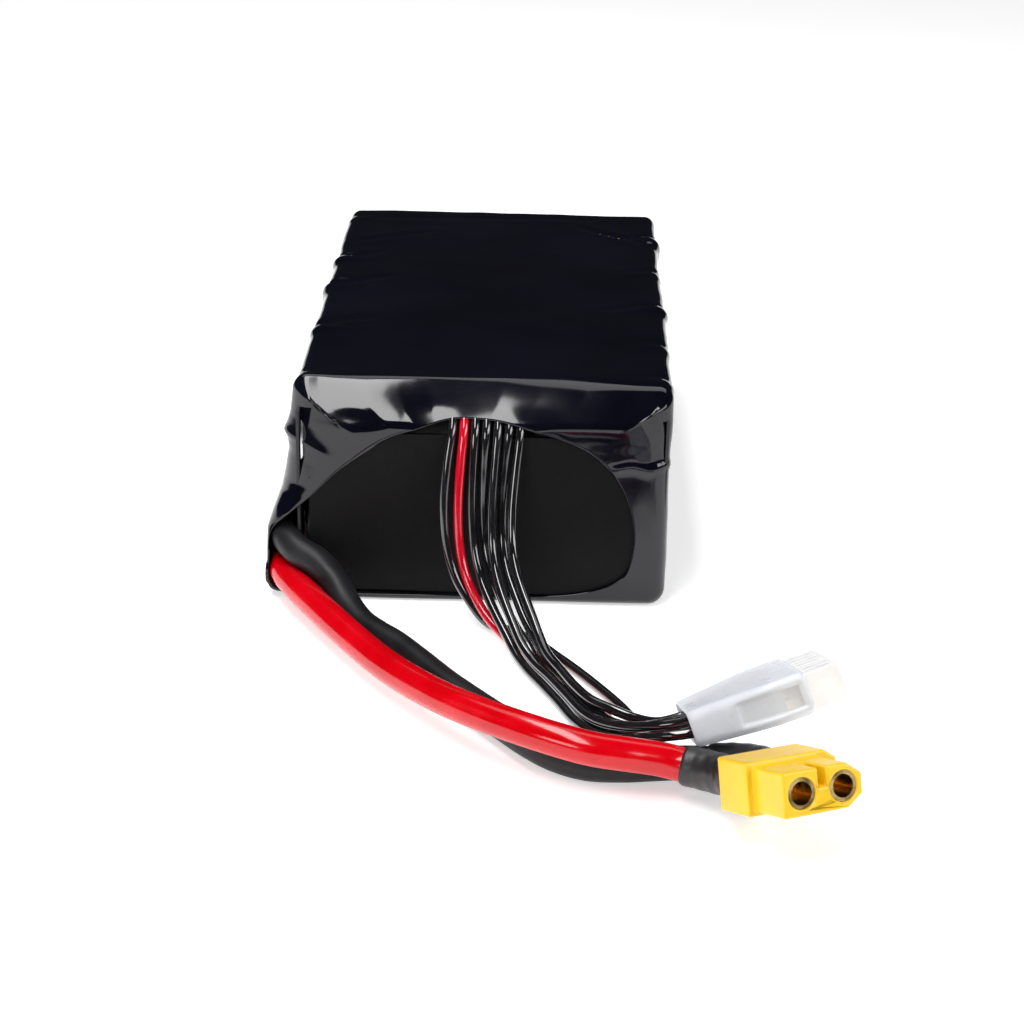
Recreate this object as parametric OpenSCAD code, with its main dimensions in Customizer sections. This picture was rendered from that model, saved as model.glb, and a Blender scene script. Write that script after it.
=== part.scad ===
// Rechargeable battery pack of twelve round cells in black heat-shrink film, with two
// power leads on a two-pole connector and seven balance wires on a seven-way plug.
// The origin is at the middle of the base, +Z is up and the leads leave at -Y.

/* [Pack] */
// Width of the wrapped pack along X
pack_w = 68; // [67.8:0.1:69]
// Length of the wrapped pack along Y
pack_l = 115; // [114.8:0.1:116]
// Height of the wrapped pack
pack_h = 41; // [40.9:0.1:42]
// Thickness of the shrunk film
film_t = 0.4; // [0.3:0.05:0.45]
// Radius of the long edges of the film
edge_r = 3; // [3:0.5:5]
// How far the film bulges to the left over the two leads
bulge = 5.35; // [5.35:0.05:6]

/* [Cells] */
// Cells in one layer, side by side along Y
cell_columns = 6; // [6:1:6]
// Layers of cells
cell_layers = 2; // [2:1:2]
// Outside diameter of a cell's plastic sleeve
cell_d = 18.35; // [18.1:0.05:18.4]
// Length of a cell over its two ends
cell_len = 65; // [64.8:0.1:65]
// Distance between neighbouring cell axes
cell_pitch = 18.6; // [18.5:0.05:18.6]

/* [Boards] */
// Thickness of the boards on the two ends
end_board_t = 0.8; // [0.5:0.1:0.9]
// Thickness of the insulating sheets on the sides, the base and the top
sheet_t = 0.5; // [0.3:0.1:0.5]
// Thickness of the nickel strips
strip_t = 0.15; // [0.1:0.05:0.15]

/* [Leads] */
// Outside diameter of a power lead
lead_d = 5.5; // [5:0.1:5.5]
// Outside diameter of a balance wire
wire_d = 1.7; // [1.3:0.1:1.7]
// Outside diameter of the shrink sleeves behind the connector
sleeve_d = 6.4; // [6.3:0.1:6.5]

/* [Power connector] */
// Width of the connector's rear body
conn_w = 15.9; // [15.6:0.1:16.4]
// Height of the connector's rear body
conn_h = 8.1; // [7.8:0.1:8.4]
// Length of the rear body, and of the front plug
conn_half_len = 8; // [7.5:0.1:8.5]
// Distance between the two contacts
contact_pitch = 7.2; // [7.2:0.1:7.4]
// Inside diameter of a contact
contact_bore_d = 3.5; // [3.4:0.05:3.6]

/* [Balance plug] */
// Pins in the balance plug
plug_ways = 7; // [7:1:7]
// Distance between neighbouring pins
plug_pitch = 2.5; // [2.5:0.1:2.5]
// Length of the plug's housing
plug_len = 9.8; // [9.5:0.1:10]
// Length of the clear boot on the plug
boot_len = 19; // [18:0.5:20]
// Wall of the clear boot
boot_wall = 0.4; // [0.3:0.05:0.4]

/* [Hidden] */
cell_names = [for (i = [1 : cell_columns * cell_layers]) str("cell_", i)];
wire_names = [for (i = [1 : plug_ways]) str("balance_wire_", i)];
strip_names = [for (i = [1 : 7]) str("nickel_strip_", i)];
$fn = 64;

// Heights of the layers, counted up from the base
sheet_z = film_t + 0.05;
row_z = [for (k = [0 : cell_layers - 1]) sheet_z + sheet_t + 0.03 + cell_d / 2 + k * cell_pitch];
board_z = row_z[1] + cell_d / 2 + 0.05;
tape_z = pack_h - film_t - 0.3;
// Places along X of the cell ends, the strips and the side sheets
cell_x = cell_len / 2;
strip_x = cell_x + 0.02;
side_x = strip_x + strip_t + 0.06;
// Places of the end boards, clear of the film's corners
board_x = cell_x - 1.5;
board_low_z = 1.8;
front_board_top = 32.8;
board_y = pack_l / 2 - film_t - 0.3 - end_board_t;
col_y = [for (c = [0 : cell_columns - 1]) (c - (cell_columns - 1) / 2) * cell_pitch];

// The two leads run up the left side, under the film
lead_x = -side_x - sheet_t - 0.12 - lead_d / 2;
lead_start_y = -45;
pos_z = 5.6;
neg_z = 12.4;

// The connector lies on its flank: its place, and its turns about X, Y and Z
conn_at = [49.5, -136, 11.3];
conn_turn = [-4, -21, -61];
cup_x = -conn_half_len - 4;
// The balance plug leans on the black lead
plug_at = [35, -112.5, 7.2];
plug_turn = [-23, -18, 12];
plug_x = 14.7;
plug_w = plug_pitch * (plug_ways - 1) + 4.9;
plug_t = 5.75;

// Routes of the leads, from the solder joints to the connector's cups
pos_route = [
    [lead_x, lead_start_y, pos_z], [lead_x, -51, 5.4], [-35.6, -57, 5.2], [-33, -62.6, 5.2],
    [-29.4, -68.8, 5.2], [-24.8, -76.4, 5.2], [-20, -84, 5.2], [-15, -91.6, 5.4],
    [-9.5, -99.2, 6.1], [-3.5, -106.8, 7.2], [2.5, -113, 8.2], [9, -118, 8.7],
    [15, -121.2, 8.6], [20, -122.8, 8.2], [24.2, -122.8, 7.6], [28, -122.2, 6.8],
    [31.4, -121.9, 6.1], [34.3, -122.5, 5.7], [36.9, -123.7, 5.8], [39.1, -125.6, 6.3],
    on_conn([cup_x, -contact_pitch / 2, 0])];
neg_route = [
    [lead_x, lead_start_y, neg_z], [lead_x, -50, 12.2], [-35.7, -54.6, 11.5], [-33.2, -58.9, 10.6],
    [-29.2, -61.3, 9.2], [-25.9, -64, 6.9], [-23.3, -68, 4.2], [-20.4, -72.6, 2.9],
    [-17.2, -76.6, 2.8], [-13.6, -80.6, 2.8], [-9, -87, 2.8], [-4, -94.2, 2.8], [1, -100.5, 2.8],
    [6, -106.5, 2.8], [10.5, -112, 2.8], [14.8, -116, 2.8], [19.6, -118.2, 2.8],
    [25, -118.3, 2.8], [30, -117.6, 2.8], [34.5, -117.1, 2.9], [38.8, -117.8, 3.4],
    [42.6, -119.4, 4.5], [45.4, -121.8, 5.7],
    on_conn([cup_x, contact_pitch / 2, 0])];
// Route points where the shrink sleeves begin
pos_sleeve_from = 17;
neg_sleeve_from = 20;

// Balance wires in the order of the plug's ways: from under the film's lip down the front,
// along the floor in one loose bundle and up into the boot
wire_lip_x = [-1.2, 2.8, 0.8, 4.8, -3.2, 6.8, -5.3];
wire_free = [
    [[-1.5, -60.2, 27], [-1.8, -61.4, 19.2], [-1.3, -62.7, 12.7], [0.3, -65.2, 8.2],
     [2.6, -69.3, 5.3], [5, -74.2, 3.2], [7.4, -79.6, 1.3], [9.5, -84.4, 0.9], [12, -89.4, 0.9],
     [14.8, -95.2, 0.9], [17.6, -101.6, 1], [21.2, -107.9, 2.1], [26.2, -112.8, 4.2],
     [31.2, -115.7, 6.7]],
    [[2.4, -60.6, 27], [1.8, -61.9, 19.4], [2, -63.5, 13.4], [3.2, -66.5, 9.6], [4.8, -71, 7.3],
     [6.6, -76, 5.5], [8.3, -80.6, 3.9], [10.6, -84.8, 2.7], [13.2, -89.4, 2.5], [16, -95.2, 2.5],
     [18.8, -101.4, 2.7], [22, -106.2, 3.5], [26, -110.8, 5.5], [30.6, -113.8, 7.6]],
    [[0.5, -59.6, 27], [0.2, -60.2, 19.2], [0.7, -61.3, 12.8], [2.2, -64, 8.7], [4.5, -68.7, 6.1],
     [7, -74, 4], [9.3, -78.8, 2.8], [11.4, -83.2, 1.2], [14.2, -88.6, 0.9], [17, -94.8, 0.9],
     [19.7, -101, 0.9], [22.6, -105.9, 1.5], [26.4, -110.4, 3.1], [31.2, -113.4, 5.3]],
    [[4.3, -59.6, 27], [3.5, -60.3, 19.4], [3.8, -61.6, 13.4], [5, -64.8, 9.8], [6.8, -69.7, 7.6],
     [8.8, -75, 5.6], [10.8, -79.4, 4.2], [12.8, -83.8, 2.8], [15.4, -88.8, 2.5], [18, -94.6, 2.5],
     [20.8, -100.6, 2.7], [23.2, -104.4, 2.8], [26.6, -108.6, 4.2], [30.6, -111.4, 6.4]],
    [[-3.8, -60.2, 27.5], [-4.2, -61.5, 20.1], [-4, -62.6, 13.4], [-2.7, -64.3, 8.4],
     [-0.4, -67, 5.2], [2.4, -70, 2.9], [5.8, -73.6, 1.2], [9.4, -77.4, 0.9], [13.1, -82.2, 0.9],
     [16.4, -87.6, 0.9], [19.6, -93.6, 0.9], [22.6, -99.4, 0.9], [24.8, -104, 1],
     [27.5, -108.2, 2.1], [31.2, -111, 4.3]],
    [[6.2, -60.6, 27], [5.3, -62.2, 19.9], [5.5, -64.2, 14.3], [6.8, -67.3, 10.9], [8.4, -72, 8.9],
     [10, -77, 7.3], [11.4, -81.4, 5.7], [12.8, -85.4, 4.7], [15, -90, 4.3], [17.4, -95.6, 4.3],
     [20, -100.4, 4.5], [23.4, -103.6, 4.6], [27.2, -106.2, 4.5], [30.8, -109.2, 5.6]],
    [[-6.2, -60.2, 28], [-6.9, -61.5, 21], [-6.6, -62.9, 14.2], [-4.8, -64.3, 8.4],
     [-1.9, -66.1, 4.2], [1.8, -67.8, 1.4], [6.2, -70, 0.9], [10.6, -73.6, 0.9], [14.5, -79, 0.9],
     [18, -84, 0.9], [21.5, -89.5, 0.9], [25, -95.5, 0.9], [27.6, -101, 1], [29.4, -105.2, 1.7],
     [31.7, -108.4, 3.4]]];
// Where each wire passes the boot's mouth: across the boot, and above or below its middle
mouth_y = [-3.9, -2.6, -1.3, 0, 1.3, 2.6, 3.9];
mouth_z = [-0.95, 0.95, -0.95, 0.95, -0.95, 0.95, -0.95];
// Places where the inner runs turn to the left or the right side of the pack
run_turn_y = [-36, -10, -14, -20, -40, -30, -44];

// Turn a point from a tilted piece's own frame into the pack's frame
function turn_x(p, a) = [p.x, p.y * cos(a) - p.z * sin(a), p.y * sin(a) + p.z * cos(a)];
function turn_y(p, a) = [p.x * cos(a) + p.z * sin(a), p.y, p.z * cos(a) - p.x * sin(a)];
function turn_z(p, a) = [p.x * cos(a) - p.y * sin(a), p.x * sin(a) + p.y * cos(a), p.z];
function turned(p, t) = turn_z(turn_y(turn_x(p, t.x), t.y), t.z);
function on_conn(p) = conn_at + turned(p, conn_turn);
function on_plug(p) = plug_at + turned(p, plug_turn);
conn_dir = turned([1, 0, 0], conn_turn);
plug_dir = turned([1, 0, 0], plug_turn);
lip_dir = [0, -3.2, -2.6] / norm([0, -3.2, -2.6]);

// A smooth curve through points, with k steps from each point to the next
function unit(v) = v / norm(v);
function blend(a, b, c, d, t) = 0.5 * (2 * b + (c - a) * t + (2 * a - 5 * b + 4 * c - d) * t * t
    + (3 * b - a - 3 * c + d) * t * t * t);
function smooth(p, k) = let (n = len(p), q = concat([2 * p[0] - p[1]], p, [2 * p[n - 1] - p[n - 2]]))
    concat([for (i = [1 : n - 1], s = [0 : k - 1]) blend(q[i - 1], q[i], q[i + 1], q[i + 2], s / k)],
        [p[n - 1]]);
function tail(p, from) = [for (i = [from : len(p) - 1]) p[i]];

// Directions along a curve, with the first and the last given, and one side vector per ring
function courses(p, first, last) = [for (i = [0 : len(p) - 1])
    i == 0 ? first : i == len(p) - 1 ? last : unit(p[i + 1] - p[i - 1])];
function level(side, dir) = unit(side - (side * dir) * dir);
function sides(dirs, side, i = 0) = i == len(dirs) ? [] :
    let (now = level(side, dirs[i])) concat([now], sides(dirs, now, i + 1));

// A round tube swept along a curve
module sweep_tube(path, r, first, last, edges) {
    dirs = courses(path, first, last);
    across = sides(dirs, abs(first.z) > 0.7 ? [1, 0, 0] : [0, 0, 1]);
    rings = [for (i = [0 : len(path) - 1], e = [0 : edges - 1])
        let (a = (e + 0.5) * 360 / edges)
        path[i] + r * (cos(a) * across[i] + sin(a) * cross(dirs[i], across[i]))];
    last_ring = (len(path) - 1) * edges;
    faces = concat(
        [[for (e = [0 : edges - 1]) e]],
        [[for (e = [edges - 1 : -1 : 0]) last_ring + e]],
        [for (i = [0 : len(path) - 2], e = [0 : edges - 1])
            let (a = i * edges + e, b = i * edges + (e + 1) % edges) [a, a + edges, b]],
        [for (i = [0 : len(path) - 2], e = [0 : edges - 1])
            let (a = i * edges + e, b = i * edges + (e + 1) % edges) [b, a + edges, b + edges]]);
    polyhedron(points = rings, faces = faces);
}

// Curves of the wires
function wire_path(i) = smooth(concat(
    [[wire_lip_x[i], -54, 36.5], [wire_lip_x[i], -57.2, 33.9]],
    wire_free[i],
    [on_plug([0.5, mouth_y[i], mouth_z[i]]),
     on_plug([6, mouth_y[i] + (way_y(i) - mouth_y[i]) * 0.45, mouth_z[i] * 0.8]),
     on_plug([11, mouth_y[i] + (way_y(i) - mouth_y[i]) * 0.92, mouth_z[i] * 0.2]),
     on_plug([plug_x, way_y(i), 0])]), 2);
function way_y(i) = (i - (plug_ways - 1) / 2) * plug_pitch;

module place_conn() {
    translate(conn_at) rotate(conn_turn) children();
}
module place_plug() {
    translate(plug_at) rotate(plug_turn) children();
}
// A flat plate from its lowest to its highest corner
module plate(low, high) {
    translate(low) cube(high - low);
}
// A rectangle with round corners in the XZ plane, from x0, z0 to x1, z1
module round_rect(x0, z0, x1, z1, r) {
    translate([x0 + r, z0]) square([x1 - x0 - 2 * r, z1 - z0]);
    translate([x0, z0 + r]) square([x1 - x0, z1 - z0 - 2 * r]);
    for (x = [x0 + r, x1 - r], z = [z0 + r, z1 - r]) translate([x, z]) circle(r = r);
}
// A profile in X and Z, drawn out from y0 to y1
module along_y(y0, y1) {
    translate([0, y1, 0]) rotate([90, 0, 0]) linear_extrude(y1 - y0) children();
}

// ---- wrapping ----
module pack_profile(inset) {
    round_rect(-pack_w / 2 + inset, inset, pack_w / 2 - inset, pack_h - inset, edge_r - inset);
}
module bulge_profile(inset) {
    round_rect(-pack_w / 2 - bulge + inset, 0.8 + inset, -20, 22.5 - inset, 3.4 - inset);
}
// The front opening follows the film's lip: high in the middle, open round the leads
module front_opening() {
    inner_left = -pack_w / 2 - bulge + film_t;
    polygon([[inner_left, 3.2], [inner_left, 15], [-36.4, 18.4], [-31, 22.5], [-24.3, 28.7],
        [-14.5, 33.4], [-5.7, 35.2], [8.5, 35.2], [16.5, 31.9], [22.9, 27.3], [27.3, 17.7],
        [27.3, 9.7], [22, 4.4], [12, 1.9], [-10, 1.4], [-36.6, 1.4]]);
}
module rear_opening() {
    polygon([for (a = [0 : 15 : 345]) [26 * cos(a), 19.5 + 14 * sin(a)]]);
}
module heat_shrink_wrap() {
    y0 = -pack_l / 2;
    y1 = pack_l / 2;
    bulge_end = -28;
    color([0.05, 0.05, 0.08]) difference() {
        union() {
            along_y(y0, y1) pack_profile(0);
            along_y(y0, bulge_end) bulge_profile(0);
        }
        along_y(y0 + film_t, y1 - film_t) pack_profile(film_t);
        along_y(y0 + film_t, bulge_end - film_t) bulge_profile(film_t);
        along_y(y0 - 1, y0 + film_t + 1) front_opening();
        along_y(y1 - film_t - 1, y1 + 1) rear_opening();
    }
}

// ---- boards and sheets ----
module front_end_board() {
    cut = 9;
    color([0.07, 0.07, 0.08]) along_y(-board_y - end_board_t, -board_y)
        polygon([[-board_x, board_low_z], [board_x, board_low_z], [board_x, front_board_top - cut],
            [board_x - cut, front_board_top], [cut - board_x, front_board_top],
            [-board_x, front_board_top - cut]]);
}
module rear_end_board() {
    color([0.07, 0.07, 0.08])
        plate([-board_x, board_y, board_low_z], [board_x, board_y + end_board_t, board_z - 0.1]);
}
module top_board() {
    color([0.1, 0.35, 0.2]) plate([-cell_x + 0.5, -49, board_z], [cell_x - 0.5, board_y, board_z + sheet_t]);
}
module bottom_sheet() {
    color([0.1, 0.1, 0.11])
        plate([-cell_x + 0.5, -board_y, sheet_z], [cell_x - 0.5, board_y, sheet_z + sheet_t]);
}
module side_sheet() {
    plate([side_x, -board_y, 5], [side_x + sheet_t, board_y, 36]);
}
module left_side_sheet() {
    color([0.1, 0.1, 0.11]) difference() {
        mirror([1, 0, 0]) side_sheet();
        plate([-side_x - 2, lead_start_y, pos_z + 1], [0, lead_start_y + 8, pos_z + 5]);
        plate([-side_x - 2, lead_start_y, neg_z + 2.5], [0, lead_start_y + 8, neg_z + 6]);
    }
}
module right_side_sheet() {
    color([0.1, 0.1, 0.11]) side_sheet();
}
module top_cover_tape() {
    color([0.75, 0.5, 0.15]) plate([-29, -48, tape_z], [29, board_y - 1, tape_z + 0.2]);
}

// ---- cells ----
// Cells 1 to 6 are the lower layer from the front, 7 to 12 the upper one.
// The positive end turns over after every second cell.
function plus_left(i) = floor((i % cell_columns) / 2) % 2 == floor(i / cell_columns);
module at_cell(i) {
    c = i % cell_columns;
    layer = floor(i / cell_columns);
    translate([plus_left(i) ? cell_x : -cell_x, col_y[c], row_z[layer]])
        rotate([0, plus_left(i) ? -90 : 90, 0]) children();
}
module cell_can() {
    r = cell_d / 2 - 0.15;
    top = cell_len - 0.6;
    color([0.72, 0.73, 0.75]) rotate_extrude() polygon([[0, 0], [r, 0], [r, top - 4], [r - 0.6, top - 3.4],
        [r - 0.6, top - 2.8], [r, top - 2.2], [r, top - 0.5], [r - 0.5, top], [6.6, top],
        [6.6, top - 2], [0, top - 2]]);
}
module cell(i) {
    at_cell(i) cell_can();
}
module cell_sleeves() {
    for (i = [0 : len(cell_names) - 1]) {
        color([0.08, 0.08, 0.09]) at_cell(i) translate([0, 0, 0.4]) difference() {
            cylinder(d = cell_d, h = cell_len - 1.4);
            translate([0, 0, -1]) cylinder(r = cell_d / 2 - 0.12, h = cell_len + 2);
        }
    }
}
module cell_caps() {
    base = cell_len - 2.55;
    for (i = [0 : len(cell_names) - 1]) {
        color("silver") at_cell(i) rotate_extrude() polygon([[0, base], [4.3, base], [4.3, base + 0.8],
            [3.9, cell_len], [0, cell_len]]);
    }
}
module cell_insulator_rings() {
    base = cell_len - 2.55;
    for (i = [0 : len(cell_names) - 1]) {
        color("white") at_cell(i) translate([0, 0, base]) difference() {
            cylinder(r = 6.5, h = 2);
            translate([0, 0, -1]) cylinder(r = 4.4, h = 4);
        }
    }
}

// ---- nickel strips ----
// A strip over the columns from c0 to c1 of the layers from k0 to k1, on one side
module strip(side, c0, c1, k0, k1) {
    half = 4;
    x0 = side > 0 ? strip_x : -strip_x - strip_t;
    color([0.8, 0.8, 0.78]) plate([x0, col_y[c0] - half, row_z[k0] - half],
        [x0 + strip_t, col_y[c1] + half, row_z[k1] + half]);
}
module nickel_strip_1() {
    strip(-1, 0, 1, 0, 0);
}
module nickel_strip_2() {
    strip(1, 0, 3, 0, 0);
}
module nickel_strip_3() {
    strip(-1, 2, 5, 0, 0);
}
module nickel_strip_4() {
    strip(1, 4, 5, 0, 1);
}
module nickel_strip_5() {
    strip(-1, 2, 5, 1, 1);
}
module nickel_strip_6() {
    strip(1, 0, 3, 1, 1);
}
// The negative strip has a tail that reaches down to the black lead's joint
module nickel_strip_7() {
    strip(-1, 0, 1, 1, 1);
    color([0.8, 0.8, 0.78]) plate([-strip_x - strip_t, lead_start_y + 1, neg_z + 2.8],
        [-strip_x, lead_start_y + 7, row_z[1] - 3.9]);
}

// ---- joints and wires inside ----
// A stripped lead end soldered to a strip through a window in the side sheet
module solder_joint(lead_z, low, high) {
    y0 = lead_start_y;
    core_r = 1.9;
    color([0.78, 0.78, 0.8]) union() {
        translate([lead_x, y0, lead_z]) rotate([-90, 0, 0]) cylinder(r = core_r, h = 7);
        plate([lead_x, y0 + 1, min(low, lead_z)], [-side_x - sheet_t - 0.05, y0 + 6.8, max(high, lead_z)]);
        plate([-side_x - sheet_t - 0.1, y0 + 1, low], [-strip_x - strip_t - 0.01, y0 + 6.8, high]);
    }
}
module solder_joint_pos() {
    solder_joint(pos_z, pos_z + 1.3, pos_z + 4.7);
}
module solder_joint_neg() {
    solder_joint(neg_z, neg_z + 3, neg_z + 5.8);
}
// From the lip back over the top board, then out to one side
module balance_inner_runs() {
    run_z = board_z + sheet_t + wire_d / 2 + 0.02;
    for (i = [0 : plug_ways - 1]) {
        x = wire_lip_x[i];
        y = run_turn_y[i];
        color(i == 4 ? "red" : "black") {
            sweep_tube([[x, y, run_z], [x, -49.6, run_z], [x, -52, 38.1], [x, -54, 36.5]],
                wire_d / 2, [0, -1, 0], lip_dir, 8);
            side = i % 2 == 0 ? -1 : 1;
            x1 = side * (cell_x - 2);
            plate([min(x - side * wire_d / 2, x1), y + 0.02, run_z - wire_d / 2],
                [max(x - side * wire_d / 2, x1), y + wire_d, run_z + wire_d / 2]);
        }
    }
}

// ---- power leads, sleeves and connector ----
module power_lead(route, tint) {
    color(tint) sweep_tube(smooth(route, 2), lead_d / 2, [0, -1, 0], conn_dir, 12);
}
module power_lead_pos() {
    power_lead(pos_route, [0.85, 0.02, 0.06]);
}
module power_lead_neg() {
    power_lead(neg_route, [0.05, 0.05, 0.06]);
}
// A shrink sleeve over the last bend of a lead, its cup and up to the housing
module power_sleeve(route, side, from) {
    curve = tail(smooth(route, 2), 2 * from);
    face = on_conn([-conn_half_len - 0.05, side * contact_pitch / 2, 0]);
    path = concat(curve, [face]);
    start = unit(curve[1] - curve[0]);
    longer = concat([curve[0] - start], path, [face + conn_dir]);
    color([0.06, 0.06, 0.06]) difference() {
        sweep_tube(path, sleeve_d / 2, start, conn_dir, 12);
        sweep_tube(longer, lead_d / 2 + 0.1, start, conn_dir, 12);
    }
}
module power_sleeve_pos() {
    power_sleeve(pos_route, -1, pos_sleeve_from);
}
module power_sleeve_neg() {
    power_sleeve(neg_route, 1, neg_sleeve_from);
}
// Outline of a part of the housing, square at one end and bevelled at the other
module conn_outline(w, h, bevel) {
    polygon([[-w / 2, -h / 2], [w / 2 - bevel, -h / 2], [w / 2, -h / 2 + bevel * 0.7],
        [w / 2, h / 2 - bevel * 0.7], [w / 2 - bevel, h / 2], [-w / 2, h / 2]]);
}
module along_conn(x0, x1) {
    translate([x0, 0, 0]) rotate([90, 0, 90]) linear_extrude(x1 - x0) children();
}
module connector_housing() {
    h = conn_half_len;
    seat_r = contact_bore_d / 2 + 0.6;
    color([0.95, 0.78, 0.1]) place_conn() difference() {
        union() {
            along_conn(-h, 0) conn_outline(conn_w, conn_h, 2);
            along_conn(-0.5, h) conn_outline(conn_w - 2.2, conn_h - 1.4, 2.6);
        }
        for (y = [-1, 1] * contact_pitch / 2) {
            translate([-h / 2, y, 0]) rotate([0, 90, 0]) cylinder(r = seat_r, h = 2 * h);
            translate([-h - 1, y, 0]) rotate([0, 90, 0]) cylinder(r = seat_r + 0.35, h = h / 2 + 1);
        }
        plate([h - 5, -0.7, 0.4], [h + 1, 0.7, conn_h]);
    }
}
module contact() {
    h = conn_half_len;
    tube_r = contact_bore_d / 2 + 0.55;
    rotate([0, 90, 0]) difference() {
        union() {
            translate([0, 0, -h / 2]) cylinder(r = tube_r, h = 1.5 * h - 0.3);
            translate([0, 0, cup_x + 0.02]) cylinder(r = tube_r + 0.3, h = -cup_x - h / 2 - 0.1);
        }
        translate([0, 0, -h / 2 + 1]) cylinder(d = contact_bore_d, h = 2 * h);
    }
}
module contact_pos() {
    color([0.9, 0.7, 0.3]) place_conn() translate([0, -contact_pitch / 2, 0]) contact();
}
module contact_neg() {
    color([0.9, 0.7, 0.3]) place_conn() translate([0, contact_pitch / 2, 0]) contact();
}

// ---- balance wires, plug and boot ----
module balance_wire(i) {
    color(i == 4 ? "red" : [0.06, 0.06, 0.07])
        sweep_tube(wire_path(i), wire_d / 2, lip_dir, plug_dir, 8);
}
module balance_plug_housing() {
    end = plug_x + plug_len;
    color([0.92, 0.92, 0.9]) place_plug() difference() {
        plate([plug_x + 0.02, -plug_w / 2, -plug_t / 2], [end, plug_w / 2, plug_t / 2]);
        for (i = [0 : plug_ways - 1]) {
            translate([0, way_y(i), 0]) {
                plate([plug_x - 1, -0.95, -1.1], [end - 1.2, 0.95, 1.1]);
                plate([plug_x, -0.5, -0.5], [end + 1, 0.5, 0.5]);
                plate([end - 5, -0.4, plug_t / 2 - 2], [end - 0.9, 0.4, plug_t]);
            }
        }
    }
}
module crimp_terminals() {
    for (i = [0 : plug_ways - 1]) {
        color([0.75, 0.7, 0.55]) place_plug() translate([0, way_y(i), 0]) difference() {
            plate([plug_x + 0.05, -0.85, -1], [plug_x + plug_len - 1.4, 0.85, 1]);
            plate([plug_x + 3, -0.4, -0.4], [plug_x + plug_len, 0.4, 0.4]);
        }
    }
}
// One cross-section of the boot: a flat outline with round corners, w wide and t thick
function boot_ring(x, w, t) = let (r = 1.6)
    [for (q = [0 : 3], a = [0 : 18 : 90])
        let (sy = (q == 0 || q == 3) ? 1 : -1, sz = q < 2 ? 1 : -1)
        [x, sy * (w / 2 - r) + r * cos(90 * q + a), sz * (t / 2 - r) + r * sin(90 * q + a)]];
module boot_shape(inset, past) {
    narrow_w = 14.7 - 2 * inset;
    wide_w = 21 - 2 * inset;
    mid_x = 13;
    rings = [boot_ring(-past, narrow_w, 5.9 - 2 * inset), boot_ring(mid_x, wide_w, 7 - 2 * inset),
        boot_ring(boot_len + past, wide_w, 7 - 2 * inset)];
    n = len(rings[0]);
    polyhedron(points = [for (ring = rings, p = ring) p], faces = concat(
        [[for (e = [0 : n - 1]) e]],
        [[for (e = [n - 1 : -1 : 0]) 2 * n + e]],
        [for (i = [0, n], e = [0 : n - 1]) [i + e, i + e + n, i + (e + 1) % n]],
        [for (i = [0, n], e = [0 : n - 1]) [i + (e + 1) % n, i + e + n, i + (e + 1) % n + n]]));
}
module plug_boot() {
    color([0.9, 0.92, 0.95, 0.5]) place_plug() difference() {
        boot_shape(0, 0);
        boot_shape(boot_wall, 0.1);
    }
}

heat_shrink_wrap();
front_end_board();
rear_end_board();
top_board();
bottom_sheet();
left_side_sheet();
right_side_sheet();
top_cover_tape();
for (i = [0 : len(cell_names) - 1]) {
    cell(i);
}
cell_sleeves();
cell_caps();
cell_insulator_rings();
nickel_strip_1();
nickel_strip_2();
nickel_strip_3();
nickel_strip_4();
nickel_strip_5();
nickel_strip_6();
nickel_strip_7();
balance_inner_runs();
solder_joint_pos();
solder_joint_neg();
power_lead_pos();
power_lead_neg();
power_sleeve_pos();
power_sleeve_neg();
connector_housing();
contact_pos();
contact_neg();
for (i = [0 : plug_ways - 1]) {
    balance_wire(i);
}
balance_plug_housing();
crimp_terminals();
plug_boot();
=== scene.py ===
import math

import bmesh
import bpy
import numpy as np
from mathutils import Euler, Matrix, Vector, noise


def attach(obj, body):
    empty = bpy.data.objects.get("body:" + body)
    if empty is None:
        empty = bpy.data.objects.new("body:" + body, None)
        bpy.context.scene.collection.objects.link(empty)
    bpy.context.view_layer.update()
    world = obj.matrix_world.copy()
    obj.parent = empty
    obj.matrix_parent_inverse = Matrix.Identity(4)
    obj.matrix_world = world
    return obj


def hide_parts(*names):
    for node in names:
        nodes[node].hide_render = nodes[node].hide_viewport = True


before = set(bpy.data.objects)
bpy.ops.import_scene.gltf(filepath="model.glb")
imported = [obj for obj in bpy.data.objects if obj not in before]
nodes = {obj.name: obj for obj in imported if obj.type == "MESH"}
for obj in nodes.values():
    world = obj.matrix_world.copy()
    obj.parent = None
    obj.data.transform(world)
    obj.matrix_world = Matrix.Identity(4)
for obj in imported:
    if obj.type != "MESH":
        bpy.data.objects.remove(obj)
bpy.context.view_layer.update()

MM = 0.001


# ---------------------------------------------------------------- materials
def new_material(name):
    """An empty material with one principled shader joined to its output."""
    mat = bpy.data.materials.new(name)
    mat.use_nodes = True
    tree = mat.node_tree
    tree.nodes.clear()
    out = tree.nodes.new("ShaderNodeOutputMaterial")
    shader = tree.nodes.new("ShaderNodeBsdfPrincipled")
    tree.links.new(shader.outputs[0], out.inputs[0])
    return mat, tree, shader, out


def object_coords(tree, scale=(1, 1, 1)):
    """Coordinates in the object's own frame, in metres."""
    coord = tree.nodes.new("ShaderNodeTexCoord")
    mapping = tree.nodes.new("ShaderNodeMapping")
    mapping.inputs["Scale"].default_value = scale
    tree.links.new(coord.outputs["Object"], mapping.inputs[0])
    return mapping.outputs[0]


def noise_node(tree, where, scale, detail, distortion=0.0):
    node = tree.nodes.new("ShaderNodeTexNoise")
    node.inputs["Scale"].default_value = scale
    node.inputs["Detail"].default_value = detail
    node.inputs["Distortion"].default_value = distortion
    tree.links.new(where, node.inputs["Vector"])
    return node.outputs[0]


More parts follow.
